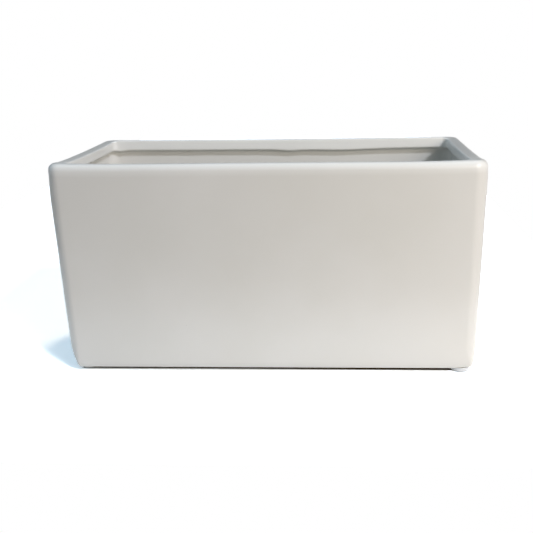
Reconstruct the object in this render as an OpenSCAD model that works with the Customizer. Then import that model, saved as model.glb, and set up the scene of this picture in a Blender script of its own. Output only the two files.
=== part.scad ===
// Rectangular ceramic planter: a slip-cast pot with an inward lip, standing on four clear self-adhesive bumpers.
// Millimetres. +X runs along the length, +Y to the back, +Z up. The origin is on the floor, under the pot's centre.

/* [Pot] */
// Outside length at the rim
pot_l = 280; // [200:1:400]
// Outside width at the rim
pot_w = 126; // [100:1:200]
// Height of the pot by itself, from its foot to its rim
pot_h = 140; // [90:1:220]
// How far each wall leans in from the rim to the foot
wall_lean = 1.5; // [0.5:0.1:4]
// Radius of the upright corners, seen from above
corner_r = 9.5; // [8:0.5:16]
// Thickness of the walls below the lip
wall_t = 6; // [4.5:0.1:7]
// Thickness of the floor over the foot
floor_t = 8; // [6:0.1:12]
// Rounding between the walls and the floor inside
floor_round = 8; // [4:0.5:8]

/* [Rim and lip] */
// Width of the rim, from the outer wall to the face of the lip
rim_w = 11; // [9.5:0.1:14]
// Thickness of the lip
lip_h = 7.1; // [5:0.1:9]
// Rounding of the rim's outer edge
rim_outer_r = 4.5; // [2:0.1:5]
// Rounding of the rim's inner edge
rim_inner_r = 1.4; // [0.5:0.1:2]
// Rounding of the lip's lower edge
lip_edge_r = 1.5; // [0.5:0.1:2.2]
// Radius of the mouth's corners, seen from above
mouth_corner_r = 6; // [5:0.5:12]

/* [Foot and drain] */
// How far the rounding above the foot goes in
foot_round_in = 2.8; // [1:0.1:3.5]
// How far the rounding above the foot goes up
foot_round_up = 20; // [5:0.5:30]
// Depth of the hollow under the floor
recess_h = 1.5; // [0.5:0.1:2.5]
// Slope of the hollow's edge, as a distance inwards
recess_slope = 2.5; // [1:0.1:5]
// Bare clay kept beyond the bumpers on the foot
foot_margin = 1.5; // [0.5:0.1:5]
// Diameter of the drain hole
drain_d = 12; // [6:0.5:20]

/* [Bumpers] */
// Diameter of a bumper
bumper_d = 12.7; // [8:0.1:16]
// Height of a bumper without its adhesive
bumper_h = 3.35; // [1.5:0.05:6]
// Rounding of a bumper's lower edge
bumper_edge_r = 0.9; // [0.3:0.1:1.2]
// Thickness of the adhesive
adhesive_t = 0.15; // [0.1:0.01:0.4]
// How far the adhesive stays inside the bumper's edge
adhesive_margin = 0.25; // [0.1:0.05:1]
// How far a bumper stays inside the foot's edge
bumper_margin = 0.2; // [0.1:0.1:3]
// How much further back the front left bumper was stuck
front_left_setback = 4.5; // [0:0.5:8]

/* [Colours] */
// Glazed ceramic
glaze_colour = [0.86, 0.85, 0.82];
// Clear bumper
bumper_colour = [0.88, 0.93, 0.96];
// Adhesive film
adhesive_colour = [0.95, 0.95, 0.90];

/* [Hidden] */
$fn = 64;
// Steps in each rounded stretch of a profile
arc_steps = 8;
// Cuts run this far past the faces that they open
overrun = 2;

// Levels above the floor
foot_z = bumper_h + adhesive_t;
rim_z = foot_z + pot_h;
lip_z = rim_z - lip_h;
inner_floor_z = foot_z + floor_t;

// The pot's half sizes at the rim, and the mouth's
half_l = pot_l / 2;
half_w = pot_w / 2;
mouth_half_l = half_l - rim_w;
mouth_half_w = half_w - rim_w;

// The walls are thinner than the rim is wide: this is the step back under the lip
undercut = rim_w - wall_t;
under_lip_r = undercut - lip_edge_r;

// The fillet inside is limited by the corner that it runs round
belly_corner_r = mouth_corner_r + undercut;
floor_r = min(floor_round, belly_corner_r - wall_lean);

// The flat ring that the bumpers are stuck to
foot_in = wall_lean + foot_round_in;
foot_ring_w = bumper_margin + bumper_d + front_left_setback + foot_margin;
recess_half_l = half_l - foot_in - foot_ring_w;
recess_half_w = half_w - foot_in - foot_ring_w;
recess_corner_r = recess_slope * 2;

// Places of the bumpers' centres
bumper_x = half_l - foot_in - bumper_margin - bumper_d / 2;
bumper_y = half_w - foot_in - bumper_margin - bumper_d / 2;

// Points of an arc or a quarter of an oval, from angle a to angle b about a centre
function arc(centre, rx, ry, a, b) = [
    for (i = [0 : arc_steps])
        let (t = a + (b - a) * i / arc_steps)
        [centre[0] + rx * cos(t), centre[1] + ry * sin(t)]
];

// Inset of the leaning outer wall at height z over the foot
function lean(z) = wall_lean * (pot_h - z) / pot_h;

// Profiles list [inset, height] from the bottom up. A positive inset goes towards the middle.
outer_profile = concat(
    arc([foot_in, foot_z + foot_round_up], foot_in - lean(foot_round_up), foot_round_up, 270, 180),
    arc([rim_outer_r, rim_z - rim_outer_r], rim_outer_r, rim_outer_r, 180, 90)
);

cavity_profile = concat(
    arc([wall_lean - undercut + floor_r, inner_floor_z + floor_r], floor_r, floor_r, 270, 180),
    arc([under_lip_r - undercut, lip_z - under_lip_r], under_lip_r, under_lip_r, 180, 90),
    arc([-lip_edge_r, lip_z + lip_edge_r], lip_edge_r, lip_edge_r, 270, 360),
    arc([-rim_inner_r, rim_z - rim_inner_r], rim_inner_r, rim_inner_r, 0, 90),
    [[-rim_inner_r, rim_z + overrun]]
);

recess_profile = [
    [0, foot_z - overrun],
    [0, foot_z],
    [recess_slope, foot_z + recess_h]
];

// A profile drawn on both sides of the middle
module mirrored_profile(half, profile) {
    last = len(profile) - 1;
    polygon(concat(
        [for (p = profile) [half - p[0], p[1]]],
        [for (i = [last : -1 : 0]) [profile[i][0] - half, profile[i][1]]]
    ));
}

// A rounded rectangular block whose sides follow a profile: two crossing runs and a quarter turn at each corner
module profiled_block(half_x, half_y, corner, profile) {
    top = profile[len(profile) - 1][1];
    run_x = 2 * (half_x - corner);
    run_y = 2 * (half_y - corner);
    rotate([90, 0, 90])
        linear_extrude(run_x, center = true)
            mirrored_profile(half_y, profile);
    rotate([90, 0, 0])
        linear_extrude(run_y, center = true)
            mirrored_profile(half_x, profile);
    for (turn = [0 : 3]) {
        sx = (turn == 0 || turn == 3) ? 1 : -1;
        sy = turn < 2 ? 1 : -1;
        translate([sx * (half_x - corner), sy * (half_y - corner), 0])
            rotate([0, 0, 90 * turn])
                rotate_extrude(angle = 90)
                    polygon(concat(
                        [for (p = profile) [corner - p[0], p[1]]],
                        [[0, top], [0, profile[0][1]]]
                    ));
    }
}

// The pot: outer form, less the soil space with its lip, the hollow under the foot and the drain hole
module pot_body() {
    color(glaze_colour)
        difference() {
            profiled_block(half_l, half_w, corner_r, outer_profile);
            profiled_block(mouth_half_l, mouth_half_w, mouth_corner_r, cavity_profile);
            profiled_block(recess_half_l, recess_half_w, recess_corner_r, recess_profile);
            translate([0, 0, foot_z - overrun])
                cylinder(h = floor_t + 2 * overrun, d = drain_d);
        }
}

// One bumper: a low cylinder with a rounded lower edge, standing on the floor
module bumper() {
    r = bumper_d / 2;
    color(bumper_colour)
        rotate_extrude() {
            translate([0, bumper_edge_r])
                square([r, bumper_h - bumper_edge_r]);
            square([r - bumper_edge_r, bumper_h]);
            translate([r - bumper_edge_r, bumper_edge_r])
                intersection() {
                    circle(bumper_edge_r);
                    translate([0, -bumper_edge_r])
                        square(bumper_edge_r);
                }
        }
}

// The film that holds a bumper to the foot
module adhesive() {
    color(adhesive_colour)
        translate([0, 0, bumper_h])
            cylinder(h = adhesive_t, d = bumper_d - 2 * adhesive_margin);
}

// Puts a child under one corner: sx and sy are -1 or 1, and setback moves it towards the middle
module at_corner(sx, sy, setback = 0) {
    translate([sx * bumper_x, sy * (bumper_y - setback), 0])
        children();
}

module bumper_front_left() { at_corner(-1, -1, front_left_setback) bumper(); }
module bumper_front_right() { at_corner(1, -1) bumper(); }
module bumper_rear_left() { at_corner(-1, 1) bumper(); }
module bumper_rear_right() { at_corner(1, 1) bumper(); }

module adhesive_front_left() { at_corner(-1, -1, front_left_setback) adhesive(); }
module adhesive_front_right() { at_corner(1, -1) adhesive(); }
module adhesive_rear_left() { at_corner(-1, 1) adhesive(); }
module adhesive_rear_right() { at_corner(1, 1) adhesive(); }

pot_body();
bumper_front_left();
bumper_front_right();
bumper_rear_left();
bumper_rear_right();
adhesive_front_left();
adhesive_front_right();
adhesive_rear_left();
adhesive_rear_right();
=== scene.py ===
import math

import bpy
import numpy as np
from mathutils import Matrix, Vector, noise


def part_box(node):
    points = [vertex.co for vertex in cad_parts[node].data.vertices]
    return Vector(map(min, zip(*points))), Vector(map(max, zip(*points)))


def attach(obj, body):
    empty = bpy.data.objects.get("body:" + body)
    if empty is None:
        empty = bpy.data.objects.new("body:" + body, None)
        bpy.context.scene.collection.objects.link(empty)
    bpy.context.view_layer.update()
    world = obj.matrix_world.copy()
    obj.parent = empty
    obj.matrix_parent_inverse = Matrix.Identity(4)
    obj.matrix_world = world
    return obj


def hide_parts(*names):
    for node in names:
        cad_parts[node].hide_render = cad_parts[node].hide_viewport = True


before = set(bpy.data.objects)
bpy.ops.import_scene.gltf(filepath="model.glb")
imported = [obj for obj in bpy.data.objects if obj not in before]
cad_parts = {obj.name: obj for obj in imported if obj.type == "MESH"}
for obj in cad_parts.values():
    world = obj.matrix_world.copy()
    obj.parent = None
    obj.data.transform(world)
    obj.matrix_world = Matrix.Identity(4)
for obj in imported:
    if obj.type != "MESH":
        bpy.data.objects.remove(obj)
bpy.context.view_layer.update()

MM = 0.001

# Sizes of the pot that the frame gives
pot_low, pot_high = (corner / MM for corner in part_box("pot_body"))
HALF_L = pot_high.x
HALF_W = pot_high.y
FOOT_Z = pot_low.z
RIM_Z = pot_high.z
POT_H = RIM_Z - FOOT_Z

# Sizes of the pot that are the same in the part's source
WALL_LEAN = 1.5
CORNER_R = 9.5
WALL_T = 6.0
FLOOR_T = 8.0
FLOOR_ROUND = 8.0
RIM_W = 11.0
LIP_H = 7.1
RIM_OUTER_R = 4.5
LIP_EDGE_R = 1.5
FOOT_ROUND_IN = 2.8
FOOT_ROUND_UP = 20.0
FOOT_RING_W = 18.9
RECESS_H = 1.5
RECESS_SLOPE = 2.5
RECESS_CORNER_R = 5.0
DRAIN_R = 6.0

# Roundings that are tighter here than in the part's source
RIM_INNER_R = 0.9
MOUTH_CORNER_R = 3.5
FOOT_CORNER_R = 5.5

# Small roundings that glaze and wiping leave, and the heights at which the foot's inner edge turns flat
DRAIN_EDGE_R = 1.0
FOOT_EDGE_R = 0.5
FOOT_EDGE_HEIGHTS = (0.1, 0.02)

# Corner radius of the flat part of the floor inside
FLOOR_CORNER_R = 1.0

# How white the glaze is, from 0 on the walls to 1: inside the pot, on the shoulder and on the rim's flat.
# Much of
# this is painted light: more light inside, a painted highlight on the shoulder, and painted light on the
# flat at the front and back but little at the ends.
INNER_PAINTED_LIGHT = 0.45
SHOULDER_PAINTED_HIGHLIGHT = 0.7
FLAT_PAINTED_LIGHT = {"back": 0.9, "front": 0.9, "left": 0.1, "right": 0.15}
# Height over which the whiter glaze and its painted light pass into the glaze of the walls
RIM_TONE_FADE = 2.0

# Steps round a corner and along the sides
CORNER_STEPS = 14
LONG_STEPS = 120
SHORT_STEPS = 46

# Steps along the stretches between the foot's outer edge and its inner one
WALL_STEPS = 36
FLAT_STEPS = 5
LIP_FACE_STEPS = 6
BELLY_STEPS = 34
FLOOR_STEPS = 16
BORE_STEPS = 4
HOLLOW_STEPS = 14
SLOPE_STEPS = 4
FOOT_STEPS = 8

# Steps of the arcs of that profile
ARC_STEPS = 8
FOOT_ARC_STEPS = 14
RIM_ARC_STEPS = 10
SMALL_ARC_STEPS = 6
DRAIN_ARC_STEPS = 5

# Rings that are wiped bare at the foot's outer edge, and from the drain hole's lower edge to the foot ring
OUTER_BARE_RINGS = 2
HOLLOW_BARE_RINGS = HOLLOW_STEPS + 2

# Irregularities of the casting. The rim dips in the middle of each side, or stands up there if the dip is
# under zero, and its front corners stand up.
DIPS = {"back": 0.45, "front": -0.4, "left": 0.5, "right": 0.3}
DIP_REACH = 45.0
CORNER_RISE = 0.9
CORNER_RISE_POWER = 6
# How much lower than its outer edge the flat of the rim is at the mouth
RIM_TILT = {"back": -0.5, "front": 0.8, "left": 0.6, "right": 0.6}
# How far the ends are drawn in at the top, and how far under the rim that begins
DRAWN_IN = {"left": 1.0, "right": 0.4}
DRAWN_FROM = {"left": 22.0, "right": 12.0}
# How far the foot is drawn in at the ends, and how much more at the front corners, where it sets in between
# two distances from the middle
FOOT_IN_ENDS = 0.1
FOOT_IN_CORNER = {"left": 2.5, "right": 0.2}
FOOT_CORNER_FROM = (50.0, 58.0)
FOOT_IN_HEIGHT = 16.0
# Share of the half length beyond which the foot of a long side moves with its end
FOOT_END_FROM = 0.7
# How far the foot's corners lift
FOOT_LIFT = {"left": 0.0, "right": 0.9}
FOOT_LIFT_REACH = 18.0
FOOT_LIFT_HEIGHT = 10.0
# Slow unevenness of the walls and of the lip's lower edge
WALL_RIPPLE = 0.12
WALL_RIPPLE_LENGTH = 55.0
LIP_WAVE = 0.2
LIP_WAVE_LENGTH = 34.0
# Where glaze sagged on the lip's lower edge: side, place along it, drop and half width
SAGS = (
    ("back", 0.0, 0.45, 400.0),
    ("back", 9.0, 0.9, 9.0),
    ("back", 48.0, 1.05, 26.0),
    ("back", -124.0, 0.9, 3.5),
    ("front", -74.0, 0.7, 8.0),
    ("front", 52.0, 0.9, 7.0),
    ("left", -14.0, 0.5, 9.0),
    ("right", 22.0, 0.5, 8.0),
)

# Levels and insets that follow from the sizes above
LIP_Z = RIM_Z - LIP_H
INNER_FLOOR_Z = FOOT_Z + FLOOR_T
RECESS_Z = FOOT_Z + RECESS_H
FOOT_IN = WALL_LEAN + FOOT_ROUND_IN
UNDERCUT = RIM_W - WALL_T
UNDER_LIP_R = UNDERCUT - LIP_EDGE_R
FLOOR_R = min(FLOOR_ROUND, MOUTH_CORNER_R + UNDERCUT - WALL_LEAN - FLOOR_CORNER_R)


class Stations:
    """Places round the pot, the same for every plan: the corner arcs and the runs between them."""

    def __init__(self):
        signs = ((1, 1), (-1, 1), (-1, -1), (1, -1))
        sides = ("back", "left", "front", "right")
        runs = (LONG_STEPS, SHORT_STEPS, LONG_STEPS, SHORT_STEPS)
        start, end, share, turn, side = [], [], [], [], []
        for corner in range(4):
            here, following = signs[corner], signs[(corner + 1) % 4]
            for step in range(CORNER_STEPS):
                start.append(here)
                end.append(here)
                share.append(0.0)
                turn.append((corner + step / CORNER_STEPS) * math.pi / 2)
                side.append("corner")
            for step in range(runs[corner]):
                start.append(here)
                end.append(following)
                share.append(step / runs[corner])
                turn.append((corner + 1) * math.pi / 2)
                side.append(sides[corner])
        share = np.array(share)[:, None]
        self.arm = np.array(start) * (1 - share) + np.array(end) * share
        self.normal = np.stack([np.cos(turn), np.sin(turn)], axis=1)
        self.side = np.array(side)
        self.count = len(side)

    def plan(self, half_x, half_y, corner):
        """A rounded rectangle, with a point at each station."""
        return self.arm * (half_x - corner, half_y - corner) + corner * self.normal


stations = Stations()
outer_plan = stations.plan(HALF_L, HALF_W, CORNER_R)
foot_plan = stations.plan(HALF_L, HALF_W, FOOT_CORNER_R)
mouth_plan = stations.plan(HALF_L - RIM_W, HALF_W - RIM_W, MOUTH_CORNER_R)
recess_plan = stations.plan(
    HALF_L - FOOT_IN - FOOT_RING_W, HALF_W - FOOT_IN - FOOT_RING_W, RECESS_CORNER_R
)


def smooth_step(value, low, high):
    """0 at low and under it, 1 at high and over it, and a soft passage between them."""
    t = np.clip((value - low) / (high - low), 0, 1)
    return t * t * (3 - 2 * t)


def arc(centre, radius_x, radius_y, first, last, steps=ARC_STEPS):
    """Points [inset, height] of an arc, without its last point."""
    angles = np.radians(np.linspace(first, last, steps + 1))[:-1]
    return [(centre[0] + radius_x * math.cos(a), centre[1] + radius_y * math.sin(a)) for a in angles]


def line(first, last, steps):
    """Points [inset, height] of a straight stretch, without its last point."""
    shares = np.arange(steps) / steps
    return [tuple(np.array(first) * (1 - s) + np.array(last) * s) for s in shares]


def lean(height):
    """Inset of the leaning wall at a height over the foot."""
    return WALL_LEAN * (POT_H - height) / POT_H


def level(points, height):
    """A ring: plan points at one height."""
    return np.hstack([points, np.full((len(points), 1), height)])


def offset_rings(plan, profile):
    """Rings that follow a profile of [inset, height] points round a plan."""
    return [level(plan - inset * stations.normal, height) for inset, height in profile]


def outer_ring(inset, height):
    """A ring of the outer wall, whose ends are drawn in at the top and at the foot."""
    near_foot = 1 - smooth_step(height, FOOT_Z, FOOT_Z + FOOT_IN_HEIGHT)
    near_front = smooth_step(-foot_plan[:, 1], *FOOT_CORNER_FROM)
    points = outer_plan * (1 - near_foot) + foot_plan * near_foot - inset * stations.normal
    for side, inward in (("left", 1), ("right", -1)):
        near_top = smooth_step(height, RIM_Z - DRAWN_FROM[side], RIM_Z - RIM_OUTER_R)
        facing = np.maximum(-inward * stations.normal[:, 0], 0)
        near_end = smooth_step(-inward * stations.arm[:, 0], FOOT_END_FROM, 1)
        at_top = DRAWN_IN[side] * near_top * facing
        at_foot = (FOOT_IN_ENDS + FOOT_IN_CORNER[side] * near_front) * near_foot * near_end
        points[:, 0] += inward * (at_top + at_foot)
    return level(points, height)


def bridge_rings(first, last, steps):
    """Rings between two rings, without either."""
    shares = [step / steps for step in range(1, steps)]
    return [first * (1 - s) + last * s for s in shares]


def circle_ring(radius, height):
    """A ring round the drain hole, each point in line with its station on the mouth."""
    turn = np.arctan2(mouth_plan[:, 1], mouth_plan[:, 0])
    return np.stack([radius * np.cos(turn), radius * np.sin(turn), np.full(turn.shape, height)], axis=1)


def round_the_rim(amounts):
    """An amount for each station: its side's on the straight runs, blended round the corners."""
    turn = np.degrees(np.arctan2(stations.normal[:, 1], stations.normal[:, 0])) % 360
    sides = ("right", "back", "left", "front", "right")
    return np.interp(turn, (0, 90, 180, 270, 360), [amounts[side] for side in sides])


def dip():
    """How far the rim sags at each station. Where it stands up, this is under zero."""
    amount = np.zeros(stations.count)
    for side, depth in DIPS.items():
        here = stations.side == side
        along = 0 if side in ("back", "front") else 1
        amount[here] = depth * (1 - stations.arm[here, along] ** 2)
    in_front = stations.arm[:, 1] < 0
    near_corner = np.prod(np.abs(stations.arm), axis=1) ** CORNER_RISE_POWER
    return amount - CORNER_RISE * in_front * near_corner


def lip_sag():
    """How far the lip's lower edge hangs down at each station: a slow wave and the sags of glaze."""
    wave = [noise.noise(Vector((x, y, 0)) / LIP_WAVE_LENGTH) for x, y in mouth_plan]
    sag = LIP_WAVE * np.array(wave)
    for side, place, drop, half_width in SAGS:
        along, across = (0, 1) if side in ("back", "front") else (1, 0)
        beyond = 1 if side in ("back", "right") else -1
        same_side = mouth_plan[:, across] * beyond > 0
        reach = (mouth_plan[:, along] - place) / half_width
        sag += same_side * drop * np.exp(-reach ** 2)
    return sag


def outer_rings():
    """The rounding of the foot, the leaning wall and the rim's outer rounding."""
    foot_top = FOOT_Z + FOOT_ROUND_UP
    rim_low = RIM_Z - RIM_OUTER_R
    wall_in = lean(FOOT_ROUND_UP)
    profile = arc((FOOT_IN, foot_top), FOOT_IN - wall_in, FOOT_ROUND_UP, 270, 180, FOOT_ARC_STEPS)
    profile += line((wall_in, foot_top), (0, rim_low), WALL_STEPS)
    profile += arc((RIM_OUTER_R, rim_low), RIM_OUTER_R, RIM_OUTER_R, 180, 90, RIM_ARC_STEPS)
    return [outer_ring(inset, height) for inset, height in profile]


def rim_rings():
    """The flat of the rim, from the outer rounding to the inner one."""
    first = outer_ring(RIM_OUTER_R, RIM_Z)
    last = offset_rings(mouth_plan, [(-RIM_INNER_R, RIM_Z)])[0]
    rings = [first] + bridge_rings(first, last, FLAT_STEPS)
    tilt = round_the_rim(RIM_TILT)
    for step, ring in enumerate(rings):
        ring[:, 2] -= tilt * step / len(rings)
    return rings


def lip_rings():
    """The inner rounding, the lip's face, its lower edge and the hollow under it, tilted and sagging."""
    face_top = RIM_Z - RIM_INNER_R
    face_low = LIP_Z + LIP_EDGE_R
    hollow_z = LIP_Z - UNDER_LIP_R
    profile = arc((-RIM_INNER_R, face_top), RIM_INNER_R, RIM_INNER_R, 90, 0, SMALL_ARC_STEPS)
    profile += line((0, face_top), (0, face_low), LIP_FACE_STEPS)
    profile += arc((-LIP_EDGE_R, face_low), LIP_EDGE_R, LIP_EDGE_R, 0, -90, SMALL_ARC_STEPS)
    profile += arc((-LIP_EDGE_R, hollow_z), UNDER_LIP_R, UNDER_LIP_R, 90, 180)
    rings = offset_rings(mouth_plan, profile)
    sag = lip_sag()
    tilt = round_the_rim(RIM_TILT)
    for (inset, height), ring in zip(profile, rings):
        on_face = smooth_step(height, face_top, face_low)
        under = smooth_step(inset, -UNDERCUT, -LIP_EDGE_R)
        ring[:, 2] -= sag * on_face * under + tilt * (1 - on_face)
    return rings


def belly_rings():
    """The inner wall, from the hollow under the lip down to the rounding of the floor."""
    foot = (WALL_LEAN - UNDERCUT, INNER_FLOOR_Z + FLOOR_R)
    profile = line((-UNDERCUT, LIP_Z - UNDER_LIP_R), foot, BELLY_STEPS)
    profile += arc((foot[0] + FLOOR_R, foot[1]), FLOOR_R, FLOOR_R, 180, 270)
    return offset_rings(mouth_plan, profile)


def drain_rings():
    """The drain hole, from its upper edge to its lower one."""
    radius = DRAIN_R + DRAIN_EDGE_R
    top_z = INNER_FLOOR_Z - DRAIN_EDGE_R
    bottom_z = RECESS_Z + DRAIN_EDGE_R
    profile = arc((radius, top_z), DRAIN_EDGE_R, DRAIN_EDGE_R, 90, 180, DRAIN_ARC_STEPS)
    profile += line((DRAIN_R, top_z), (DRAIN_R, bottom_z), BORE_STEPS)
    profile += arc((radius, bottom_z), DRAIN_EDGE_R, DRAIN_EDGE_R, 180, 270, DRAIN_ARC_STEPS)
    profile.append((radius, RECESS_Z))
    return [circle_ring(*point) for point in profile]


def floor_rings():
    """The floor inside, down through the drain hole, and out over the hollow under the foot."""
    edge = offset_rings(mouth_plan, [(WALL_LEAN - UNDERCUT + FLOOR_R, INNER_FLOOR_Z)])[0]
    hollow = offset_rings(recess_plan, [(RECESS_SLOPE, RECESS_Z)])[0]
    drain = drain_rings()
    inside = [edge] + bridge_rings(edge, drain[0], FLOOR_STEPS)
    underneath = bridge_rings(drain[-1], hollow, HOLLOW_STEPS) + [hollow]
    return inside + drain + underneath


def foot_rings():
    """The slope of the hollow and the flat ring that the bumpers hold."""
    slope_low = FOOT_Z + FOOT_EDGE_R * RECESS_H / RECESS_SLOPE
    profile = line((RECESS_SLOPE, RECESS_Z), (FOOT_EDGE_R, slope_low), SLOPE_STEPS)[1:]
    profile.append((FOOT_EDGE_R / 2, FOOT_Z + FOOT_EDGE_HEIGHTS[0]))
    profile.append((0, FOOT_Z + FOOT_EDGE_HEIGHTS[1]))
    profile.append((-FOOT_EDGE_R, FOOT_Z))
    slope = offset_rings(recess_plan, profile)
    outer = outer_ring(FOOT_IN, FOOT_Z)
    return slope + bridge_rings(slope[-1], outer, FOOT_STEPS)


def sink_rim(points):
    """Lets the rim dip between its corners, and the walls under it less and less."""
    points[..., 2] -= dip() * smooth_step(points[..., 2], RIM_Z - DIP_REACH, RIM_Z)


def lift_corners(points):
    """Lifts the corners of the foot."""
    near_corner = np.ones(points.shape[:2])
    for axis, half in ((0, HALF_L), (1, HALF_W)):
        near_corner *= smooth_step(np.abs(points[..., axis]), half - FOOT_LIFT_REACH, half - FOOT_IN)
    near_foot = 1 - smooth_step(points[..., 2], FOOT_Z, FOOT_Z + FOOT_LIFT_HEIGHT)
    lift = np.where(points[..., 0] < 0, FOOT_LIFT["left"], FOOT_LIFT["right"])
    points[..., 2] += lift * near_corner * near_foot


def ripple_walls(points):
    """Makes the walls faintly uneven above the foot."""
    ripple = np.array([noise.noise(Vector(point) / WALL_RIPPLE_LENGTH) for point in points.reshape(-1, 3)])
    above_foot = smooth_step(points[..., 2], INNER_FLOOR_Z, INNER_FLOOR_Z + FOOT_ROUND_UP)
    shift = WALL_RIPPLE * ripple.reshape(points.shape[:2]) * above_foot
    points[..., :2] += shift[..., None] * stations.normal


def grid_faces(rings, columns):
    """Quads of a grid that closes both ways."""
    ring, column = np.meshgrid(np.arange(rings), np.arange(columns), indexing="ij")
    next_ring, next_column = (ring + 1) % rings, (column + 1) % columns
    corners = [ring * columns + column, ring * columns + next_column]
    corners += [next_ring * columns + next_column, next_ring * columns + column]
    return np.stack(corners, axis=-1).reshape(-1, 4)


def make_mesh(name, points, faces, attributes=None):
    """A smooth object from points in millimetres and lists of corners."""
    mesh = bpy.data.meshes.new(name)
    corners = [list(map(int, face)) for face in faces]
    mesh.from_pydata((np.asarray(points) * MM).tolist(), [], corners)
    mesh.polygons.foreach_set("use_smooth", [True] * len(mesh.polygons))
    for label, values in (attributes or {}).items():
        layer = mesh.attributes.new(label, "FLOAT", "POINT")
        layer.data.foreach_set("value", np.asarray(values, np.float32))
    mesh.update()
    piece = bpy.data.objects.new(name, mesh)
    bpy.context.scene.collection.objects.link(piece)
    return piece


def bare_share(points, foot_count):
    """1 where the clay is wiped bare, which is all under the foot, and 0 elsewhere."""
    bare = np.zeros(points.shape[:2])
    bare[:OUTER_BARE_RINGS] = 1
    bare[-foot_count - HOLLOW_BARE_RINGS:] = 1
    return bare


def rim_tone_and_painted_light(points, outer_count, flat_count):
    """How white the glaze is at each point of the shell: partly its own tone, and partly painted light and
    a painted highlight.
    """
    tone = np.maximum(smooth_step(points[..., 2], LIP_Z - RIM_TONE_FADE, LIP_Z), INNER_PAINTED_LIGHT)
    height = points[:outer_count, :, 2]
    low = RIM_Z - RIM_OUTER_R - RIM_TONE_FADE
    # Painted highlight along the shoulder
    shoulder = SHOULDER_PAINTED_HIGHLIGHT * smooth_step(height, low, RIM_Z - RIM_OUTER_R / 2)
    # Painted light on the flat, strong at the front and back and weak at the ends
    flat = round_the_rim(FLAT_PAINTED_LIGHT)
    near_flat = smooth_step(height, RIM_Z - RIM_OUTER_R / 4, RIM_Z)
    tone[:outer_count] = shoulder + (flat - shoulder) * near_flat
    tone[outer_count:outer_count + flat_count] = flat
    return tone


def make_pot():
    """The pot's closed shell, with its slow irregularities and the tones of its glaze, which are partly
    painted light.
    """
    groups = [outer_rings(), rim_rings(), lip_rings(), belly_rings(), floor_rings(), foot_rings()]
    points = np.array([ring for group in groups for ring in group])
    sink_rim(points)
    lift_corners(points)
    ripple_walls(points)
    bare = bare_share(points, len(groups[-1]))
    # Whiter glaze, partly painted light, on the lip, the shoulder, the rim's flat and inside
    tone = rim_tone_and_painted_light(points, len(groups[0]), len(groups[1]))
    faces = grid_faces(*points.shape[:2])
    attributes = {"bare": bare.ravel(), "rim": tone.ravel()}
    pot = make_mesh("pot_shell", points.reshape(-1, 3), faces, attributes)
    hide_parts("pot_body")
    return pot


# Bumpers and the adhesive that holds them
BUMPERS = ("bumper_front_left", "bumper_front_right", "bumper_rear_left", "bumper_rear_right")
ADHESIVES = ("adhesive_front_left", "adhesive_front_right", "adhesive_rear_left", "adhesive_rear_right")
BUMPER_EDGE_R = 0.9
BUMPER_TOP_R = 0.2
# Share of the radius out to which each face is a fan of triangles
BUMPER_FAN_SHARE = 0.25
BUMPER_STEPS = 64
BUMPER_FACE_STEPS = 4
BUMPER_TOP_ARC_STEPS = 4
BUMPER_SIDE_STEPS = 3
BUMPER_EDGE_ARC_STEPS = 7


def bumper_profile(radius, height):
    """Points [radius, height] from the fan of the upper face to that of the lower one."""
    fan = radius * BUMPER_FAN_SHARE
    top_in, top_z = radius - BUMPER_TOP_R, height - BUMPER_TOP_R
    edge_in = radius - BUMPER_EDGE_R
    points = line((fan, height), (top_in, height), BUMPER_FACE_STEPS)
    points += arc((top_in, top_z), BUMPER_TOP_R, BUMPER_TOP_R, 90, 0, BUMPER_TOP_ARC_STEPS)
    points += line((radius, top_z), (radius, BUMPER_EDGE_R), BUMPER_SIDE_STEPS)
    points += arc((edge_in, BUMPER_EDGE_R), BUMPER_EDGE_R, BUMPER_EDGE_R, 0, -90, BUMPER_EDGE_ARC_STEPS)
    points += line((edge_in, 0), (fan, 0), BUMPER_FACE_STEPS)
    points.append((fan, 0))
    return points


def lathe_faces(ring_count):
    """Faces of turned rings, with a point before the first ring and one after the last."""
    last = 1 + ring_count * BUMPER_STEPS
    final_ring = last - BUMPER_STEPS
    faces = []
    for step in range(BUMPER_STEPS):
        following = (step + 1) % BUMPER_STEPS
        faces.append((0, 1 + step, 1 + following))
        faces.append((last, final_ring + following, final_ring + step))
        for ring in range(ring_count - 1):
            here = 1 + ring * BUMPER_STEPS
            below = here + BUMPER_STEPS
            faces.append((here + step, below + step, below + following, here + following))
    return faces


def make_bumper(node):
    low, high = (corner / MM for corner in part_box(node))
    centre = (low + high) / 2
    profile = bumper_profile((high.x - low.x) / 2, high.z - low.z)
    turns = np.arange(BUMPER_STEPS) / BUMPER_STEPS * 2 * math.pi
    points = [(centre.x, centre.y, high.z)]
    for radius, height in profile:
        for turn in turns:
            x = centre.x + radius * math.cos(turn)
            y = centre.y + radius * math.sin(turn)
            points.append((x, y, low.z + height))
    points.append((centre.x, centre.y, low.z))
    bumper = make_mesh(node + "_moulded", points, lathe_faces(len(profile)))
    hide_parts(node)
    return bumper


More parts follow.
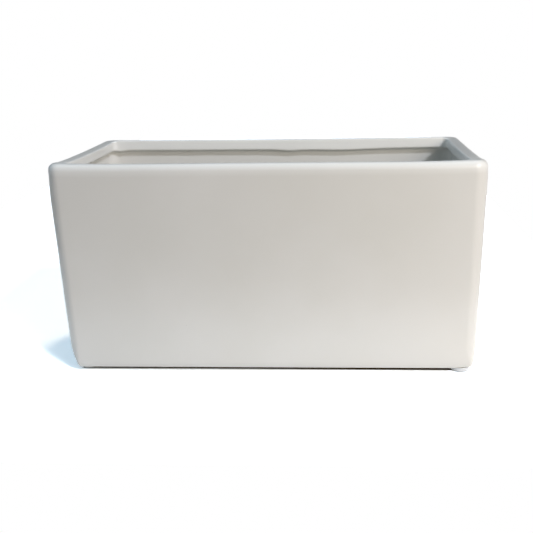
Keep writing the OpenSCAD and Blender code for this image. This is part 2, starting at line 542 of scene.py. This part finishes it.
class Nodes:
    """Short ways to build the nodes of a material or of the world."""

    # Numbers of a mix node's colour sockets, whose names it shares with its other kinds
    MIX_FIRST = 6
    MIX_SECOND = 7
    MIX_RESULT = 2

    def __init__(self, owner):
        owner.use_nodes = True
        self.owner = owner
        self.tree = owner.node_tree
        self.shader = self.tree.nodes.get("Principled BSDF")

    def add(self, kind, inputs=None, **settings):
        node = self.tree.nodes.new(kind)
        for key, value in settings.items():
            setattr(node, key, value)
        for key, value in (inputs or {}).items():
            self.feed(node.inputs[key], value)
        return node

    def feed(self, socket, value):
        """Links a socket to a socket, or sets it to a plain value."""
        if isinstance(value, bpy.types.NodeSocket):
            self.tree.links.new(value, socket)
        else:
            socket.default_value = value

    def set(self, **values):
        """Feeds inputs of the shader, with an underscore for each space in a name."""
        for key, value in values.items():
            self.feed(self.shader.inputs[key.replace("_", " ")], value)

    def noise(self, scale, detail, roughness, place):
        inputs = {"Scale": scale, "Detail": detail, "Roughness": roughness, "Vector": place}
        return self.add("ShaderNodeTexNoise", inputs).outputs["Fac"]

    def ramp(self, value, low, high, to_low=0.0, to_high=1.0):
        inputs = {"Value": value, "From Min": low, "From Max": high, "To Min": to_low, "To Max": to_high}
        return self.add("ShaderNodeMapRange", inputs).outputs["Result"]

    def mix(self, factor, first, second, blend="MIX"):
        node = self.add("ShaderNodeMix", data_type="RGBA", blend_type=blend)
        self.feed(node.inputs["Factor"], factor)
        self.feed(node.inputs[self.MIX_FIRST], first)
        self.feed(node.inputs[self.MIX_SECOND], second)
        return node.outputs[self.MIX_RESULT]

    def math(self, operation, first, second):
        node = self.add("ShaderNodeMath", operation=operation)
        self.feed(node.inputs[0], first)
        self.feed(node.inputs[1], second)
        return node.outputs[0]

    def vector(self, operation, first, second=None):
        """Result of a vector operation on one or two vectors."""
        inputs = {0: first} if second is None else {0: first, 1: second}
        node = self.add("ShaderNodeVectorMath", inputs, operation=operation)
        return node.outputs["Value" if operation == "DOT_PRODUCT" else "Vector"]

    def axis(self, vector, name):
        return self.add("ShaderNodeSeparateXYZ", {0: vector}).outputs[name]

    def attribute(self, name):
        return self.add("ShaderNodeAttribute", attribute_name=name).outputs["Fac"]

    def bump(self, height, distance, strength, normal=None):
        inputs = {"Height": height, "Distance": distance, "Strength": strength}
        if normal is not None:
            inputs["Normal"] = normal
        return self.add("ShaderNodeBump", inputs).outputs["Normal"]

    @property
    def place(self):
        return self.add("ShaderNodeTexCoord").outputs["Object"]


def linear(red, green, blue):
    """A colour written in sRGB steps from 0 to 255, as Blender's sockets take it."""
    values = []
    for step in (red, green, blue):
        share = step / 255
        values.append(share / 12.92 if share <= 0.04045 else ((share + 0.055) / 1.055) ** 2.4)
    return (*values, 1.0)


# Colours of the glaze, each as a pair for its faint clouds, and of what shows where it is missing
WALL_COLOURS = (linear(217, 214, 207), linear(221, 218, 212))
# Whiter glaze of the rim, which also paints light and a highlight where the rim attribute is high
RIM_GLAZE_AND_PAINTED_LIGHT_COLOURS = (linear(237, 236, 232), linear(241, 240, 236))
PINHOLE_COLOUR = linear(150, 141, 126)
CLAY_COLOURS = (linear(214, 205, 188), linear(232, 226, 214))

# Cells per metre, of which one in ten has a pinhole in the glaze. A pinhole's radii are shares of a cell.
PINHOLE_CELLS = 55.0
PINHOLE_CELL_RANGE = (0.9, 0.91)
PINHOLE_RADIUS_SHARES = (0.012, 0.024)
PINHOLE_STRENGTH = 0.45

# Noises of the glaze and clay: scale per metre, detail and roughness
CLOUDS = (14.0, 3.0, 0.5)
WIPE_EDGE = (220.0, 3.0, 0.6)
CLAY_GRAIN = (900.0, 4.0, 0.6)
SHEEN_PATCHES = (60.0, 3.0, 0.6)
BROAD_WAVES = (26.0, 2.0, 0.5)
ORANGE_PEEL = (420.0, 2.0, 0.5)

# Values of the noises between which a pattern passes from one look to the other, how ragged the edge of
# the wiped clay is, and the values between which the clay shows
CLOUD_RANGE = (0.35, 0.65)
PATTERN_RANGE = (0.3, 0.7)
WIPE_RAGGED = 0.3
WIPE_RANGE = (0.45, 0.6)

# Roughness of the glaze, how much rougher the bare clay is, and the glaze's index of refraction
GLAZE_ROUGHNESS = (0.275, 0.305)
CLAY_ROUGHER = 0.5
GLAZE_IOR = 1.49

# Bumps: height in metres and strength
BROAD_BUMP = (0.0004, 0.25)
PEEL_BUMP = (0.00003, 0.5)
CLAY_BUMP = (0.0001, 0.6)


def pinholes(n, place):
    """The share of pinhole in the glaze at a place."""
    cells = n.add("ShaderNodeTexVoronoi", {"Vector": place, "Scale": PINHOLE_CELLS}).outputs
    chance = n.add("ShaderNodeSeparateColor", {"Color": cells["Color"]}).outputs["Red"]
    few = n.ramp(chance, *PINHOLE_CELL_RANGE)
    hole = n.ramp(cells["Distance"], *PINHOLE_RADIUS_SHARES, 1.0, 0.0)
    return n.math("MULTIPLY", n.math("MULTIPLY", hole, few), PINHOLE_STRENGTH)


def glaze_material():
    """Satin glaze with faint clouds and a few pinholes, wiped off under the foot, and whiter on the rim,
    which is partly painted light and a painted highlight.
    """
    n = Nodes(bpy.data.materials.new("satin_glaze"))
    place = n.place
    cloud = n.ramp(n.noise(*CLOUDS, place), *CLOUD_RANGE)
    # Whiter rim colours mixed in: partly the glaze's own tone, partly painted light and highlight
    tone = n.mix(n.attribute("rim"), n.mix(cloud, *WALL_COLOURS), n.mix(cloud, *RIM_GLAZE_AND_PAINTED_LIGHT_COLOURS))
    glaze = n.mix(pinholes(n, place), tone, PINHOLE_COLOUR)
    ragged = n.ramp(n.noise(*WIPE_EDGE, place), *PATTERN_RANGE, -WIPE_RAGGED, WIPE_RAGGED)
    wiped = n.ramp(n.math("ADD", n.attribute("bare"), ragged), *WIPE_RANGE)
    grain = n.noise(*CLAY_GRAIN, place)
    clay = n.mix(n.ramp(grain, *PATTERN_RANGE), *CLAY_COLOURS)
    n.set(Base_Color=n.mix(wiped, glaze, clay))
    sheen = n.ramp(n.noise(*SHEEN_PATCHES, place), *PATTERN_RANGE, *GLAZE_ROUGHNESS)
    n.set(Roughness=n.math("ADD", sheen, n.math("MULTIPLY", wiped, CLAY_ROUGHER)))
    broad = n.bump(n.noise(*BROAD_WAVES, place), *BROAD_BUMP)
    peel = n.bump(n.noise(*ORANGE_PEEL, place), *PEEL_BUMP, broad)
    n.set(Normal=n.bump(n.math("MULTIPLY", grain, wiped), *CLAY_BUMP, peel))
    n.set(IOR=GLAZE_IOR)
    return n.owner


# Clear bumper: its colours, clean and with dust stuck to it, the colour of the shade painted along its
# lower edge where it meets the floor, and the heights in millimetres between which that painted shade fades
# out
CLEAR_COLOURS = (linear(246, 248, 250), linear(232, 233, 232))
BUMPER_SHADE_COLOUR = linear(96, 98, 102)
BUMPER_SHADE_HEIGHTS = (0.3, 0.5)
DUST_SPECKS = (900.0, 4.0, 0.65)
BUMPER_WAVES = (260.0, 2.0, 0.5)
BUMPER_BUMP = (0.00008, 0.5)
# Values of the specks' noise between which the colour and the roughness pass, and that roughness
SPECK_COLOUR_RANGE = (0.5, 0.75)
SPECK_ROUGH_RANGE = (0.35, 0.75)
BUMPER_ROUGHNESS = (0.08, 0.30)
BUMPER_IOR = 1.49
BUMPER_TRANSMISSION = 0.3


def bumper_material():
    """Clear soft plastic with specks of dust, and painted shade along its lower edge where it meets the
    floor.
    """
    n = Nodes(bpy.data.materials.new("clear_polyurethane"))
    place = n.place
    dust = n.noise(*DUST_SPECKS, place)
    clear = n.mix(n.ramp(dust, *SPECK_COLOUR_RANGE), *CLEAR_COLOURS)
    # Painted shade along the lower edge, where the bumper meets the floor
    painted_shade = n.ramp(n.axis(place, "Z"), *(level * MM for level in BUMPER_SHADE_HEIGHTS), 1.0, 0.0)
    n.set(Base_Color=n.mix(painted_shade, clear, BUMPER_SHADE_COLOUR))
    n.set(Roughness=n.ramp(dust, *SPECK_ROUGH_RANGE, *BUMPER_ROUGHNESS))
    n.set(Normal=n.bump(n.noise(*BUMPER_WAVES, place), *BUMPER_BUMP))
    n.set(IOR=BUMPER_IOR, Transmission_Weight=BUMPER_TRANSMISSION)
    return n.owner


# Adhesive film: its colours where it sticks and where air is caught under it
FILM_COLOURS = (linear(235, 235, 224), linear(216, 216, 206))
CAUGHT_AIR = (1400.0, 3.0, 0.6)
FILM_BUMP = (0.00003, 0.4)
# Values of that noise between which the colour passes, and the film's roughness
AIR_RANGE = (0.45, 0.7)
FILM_ROUGHNESS = (0.2, 0.45)
FILM_IOR = 1.47
FILM_TRANSMISSION = 0.6


def adhesive_material():
    """Clear adhesive with specks of caught air."""
    n = Nodes(bpy.data.materials.new("clear_adhesive"))
    air = n.noise(*CAUGHT_AIR, n.place)
    n.set(Base_Color=n.mix(n.ramp(air, *AIR_RANGE), *FILM_COLOURS))
    n.set(Roughness=n.ramp(air, *PATTERN_RANGE, *FILM_ROUGHNESS))
    n.set(Normal=n.bump(air, *FILM_BUMP))
    n.set(IOR=FILM_IOR, Transmission_Weight=FILM_TRANSMISSION)
    return n.owner


# Board that the pot stands on: its reach, its colours, its grain and roughness, and how much it is lifted
# where it is seen
BOARD_X = (-420.0, 260.0)
BOARD_Y = (-170.0, 1200.0)
FLOOR_COLOURS = (linear(228, 229, 231), linear(232, 233, 235))
FLOOR_GRAIN = (180.0, 3.0, 0.6)
FLOOR_ROUGHNESS = 0.9
FLOOR_LIFT = (2.4, 2.55, 2.62, 1.0)

# Under the pot, further in than the key reaches, a dark brown shadow is painted on the board where it is
# seen
UNDER_POT = Vector((133.0, 55.0, 0.0))
UNDER_FADE = 0.7
UNDER_POT_SHADOW_COLOUR = (0.10, 0.06, 0.035, 1.0)
# Share of the way to the left by which the painted shadow draws back from the pot's front and back
UNDER_SKEW = 0.0055


def painted_shadow_under_pot(n, place):
    """Share of the painted shadow: 1 on the board under the pot and 0 round it."""
    beyond = n.vector("SUBTRACT", n.vector("ABSOLUTE", place), UNDER_POT * MM)
    leftward = n.math("SUBTRACT", UNDER_POT.x * MM, n.axis(place, "X"))
    depth = n.math("ADD", n.axis(beyond, "Y"), n.math("MULTIPLY", leftward, UNDER_SKEW))
    outside = n.math("MAXIMUM", n.axis(beyond, "X"), depth)
    return n.ramp(outside, -UNDER_FADE * MM, UNDER_FADE * MM, 1.0, 0.0)


def floor_material():
    """Matt pale board. Seen directly or in a shine it is lifted to white, except under the pot, where a
    dark brown shadow is painted.
    """
    n = Nodes(bpy.data.materials.new("white_floor"))
    path = n.add("ShaderNodeLightPath").outputs
    shiny = n.math("MAXIMUM", path["Is Glossy Ray"], path["Is Transmission Ray"])
    seen = n.math("MAXIMUM", path["Is Camera Ray"], shiny)
    place = n.place
    plain = n.mix(n.ramp(n.noise(*FLOOR_GRAIN, place), *PATTERN_RANGE), *FLOOR_COLOURS)
    # Under the pot the lift gives way to the painted shadow's colour
    lift = n.mix(painted_shadow_under_pot(n, place), FLOOR_LIFT, UNDER_POT_SHADOW_COLOUR)
    n.set(Base_Color=n.mix(seen, plain, lift, "MULTIPLY"))
    n.set(Roughness=FLOOR_ROUGHNESS, Specular_IOR_Level=0.0)
    return n.owner


def paint(piece, material):
    piece.data.materials.clear()
    piece.data.materials.append(material)


def make_floor():
    corners = [(x, y, 0.0) for x, y in zip(BOARD_X + BOARD_X[::-1], np.repeat(BOARD_Y, 2))]
    floor = make_mesh("floor", corners, [(0, 1, 2, 3)])
    paint(floor, floor_material())
    return floor


# Soft glows of the sky: azimuth and elevation in degrees, power of the falloff, colour
GLOWS = (
    (0.0, 90.0, 4.0, (0.73, 0.80, 0.85, 1.0)),
    (180.0, 20.0, 2.0, (0.24, 0.35, 0.44, 1.0)),
)
# Rise of a ray between which the white low down fades out for shiny and clear things
BACKDROP_FADE = (0.07, 0.10)
BLACK = (0.0, 0.0, 0.0, 1.0)
WHITE = (1.0, 1.0, 1.0, 1.0)

# Lamps, each with its light. A white surface that faces a sun is as bright as the sun's light, and one that
# faces the soft lamp is about three times as bright as the lamp's.
KEY_FROM = Vector((0.93, -0.9, 1.0))
KEY_LIGHT = (0.401, 0.419, 0.469)
KEY_ANGLE = math.radians(6.0)
# Azimuth and elevation, in degrees, from which the second sun shines
SECOND_FROM = (64.0, 58.0)
SECOND_LIGHT = (0.244, 0.187, 0.138)
SECOND_ANGLE = math.radians(7.0)
LAMP_AT = Vector((395.0, -505.0, 300.0)) * MM
LAMP_TOWARD = Vector((0.0, 0.0, 70.0)) * MM
LAMP_SIZE = 350.0 * MM
LAMP_LIGHT = (0.154, 0.141, 0.124)


def direction(azimuth, elevation):
    """A unit vector. Azimuth 0 is along +X and 90 along +Y."""
    turn, rise = math.radians(azimuth), math.radians(elevation)
    return Vector((math.cos(turn) * math.cos(rise), math.sin(turn) * math.cos(rise), math.sin(rise)))


def make_world():
    """Soft glows over the horizon, with white all round for the camera and low down for shines."""
    world = bpy.data.worlds.new("sky")
    bpy.context.scene.world = world
    n = Nodes(world)
    toward = n.add("ShaderNodeTexCoord").outputs["Generated"]
    colour = BLACK
    for azimuth, elevation, power, glow in GLOWS:
        facing = n.vector("DOT_PRODUCT", toward, direction(azimuth, elevation))
        share = n.math("POWER", n.math("MAXIMUM", facing, 0.0), power)
        colour = n.mix(share, colour, glow, "ADD")
    rise = n.axis(toward, "Z")
    sky = n.mix(n.math("GREATER_THAN", rise, 0.0), BLACK, colour)
    low = n.ramp(rise, *BACKDROP_FADE, 1.0, 0.0)
    path = n.add("ShaderNodeLightPath").outputs
    shiny = n.math("MAXIMUM", path["Is Glossy Ray"], path["Is Transmission Ray"])
    white = n.math("MAXIMUM", path["Is Camera Ray"], n.math("MULTIPLY", shiny, low))
    n.feed(n.tree.nodes["Background"].inputs["Color"], n.mix(white, sky, WHITE))


def place_lamp(name, kind, light, toward, strength_per_light):
    """A lamp that shines from a direction, with the light's colour and a strength that follows its peak."""
    data = bpy.data.lights.new(name, kind)
    peak = max(light)
    data.color = [channel / peak for channel in light]
    data.energy = peak * strength_per_light
    lamp = bpy.data.objects.new(name, data)
    lamp.rotation_mode = "QUATERNION"
    lamp.rotation_quaternion = toward.to_track_quat("Z", "Y")
    bpy.context.scene.collection.objects.link(lamp)
    return lamp


def make_lamps(floor):
    """A key from the front right, a soft lamp beside it, and one from behind for the floor alone."""
    key = place_lamp("key", "SUN", KEY_LIGHT, KEY_FROM, math.pi)
    key.data.angle = KEY_ANGLE
    away = LAMP_AT - LAMP_TOWARD
    soft = place_lamp("soft_lamp", "AREA", LAMP_LIGHT, away, math.pi ** 3 * away.length_squared)
    soft.data.shape = "DISK"
    soft.data.size = LAMP_SIZE
    soft.location = LAMP_AT
    soft.visible_camera = False
    second = place_lamp("floor_lamp", "SUN", SECOND_LIGHT, direction(*SECOND_FROM), math.pi)
    second.data.angle = SECOND_ANGLE
    lit = bpy.data.collections.new("lit_from_behind")
    lit.objects.link(floor)
    second.light_linking.receiver_collection = lit


# Camera: its picture and focal length in pixels, and its angles in radians
IMAGE = 533
SENSOR = 36.0
FOCAL_PIXELS = 708.06
CAMERA_AT = Vector((46.35, -497.91, 216.13)) * MM
CAMERA_YAW = -0.0482
CAMERA_PITCH = 0.3093
CAMERA_ROLL = -0.0169
CENTRE_SHIFT_PIXELS = (39.44, 0.36)
NEAREST = 10.0 * MM


def make_camera():
    data = bpy.data.cameras.new("camera")
    data.sensor_width = SENSOR
    data.lens = FOCAL_PIXELS / IMAGE * SENSOR
    data.shift_x = -CENTRE_SHIFT_PIXELS[0] / IMAGE
    data.shift_y = CENTRE_SHIFT_PIXELS[1] / IMAGE
    data.clip_start = NEAREST
    camera = bpy.data.objects.new("camera", data)
    flat = math.cos(CAMERA_PITCH)
    forward = Vector((math.sin(CAMERA_YAW) * flat, math.cos(CAMERA_YAW) * flat, -math.sin(CAMERA_PITCH)))
    right = Vector((math.cos(CAMERA_YAW), -math.sin(CAMERA_YAW), 0.0))
    up = right.cross(forward)
    rolled_right = right * math.cos(CAMERA_ROLL) + up * math.sin(CAMERA_ROLL)
    rolled_up = up * math.cos(CAMERA_ROLL) - right * math.sin(CAMERA_ROLL)
    axes = Matrix((rolled_right, rolled_up, -forward)).transposed()
    camera.matrix_world = Matrix.Translation(CAMERA_AT) @ axes.to_4x4()
    bpy.context.scene.collection.objects.link(camera)
    bpy.context.scene.camera = camera


def main():
    pot = make_pot()
    paint(pot, glaze_material())
    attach(pot, "root")
    clear = bumper_material()
    for node in BUMPERS:
        bumper = make_bumper(node)
        paint(bumper, clear)
        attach(bumper, "root")
    film = adhesive_material()
    for node in ADHESIVES:
        paint(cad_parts[node], film)
    make_lamps(make_floor())
    make_world()
    make_camera()
    bpy.context.scene.view_settings.view_transform = "Standard"


main()
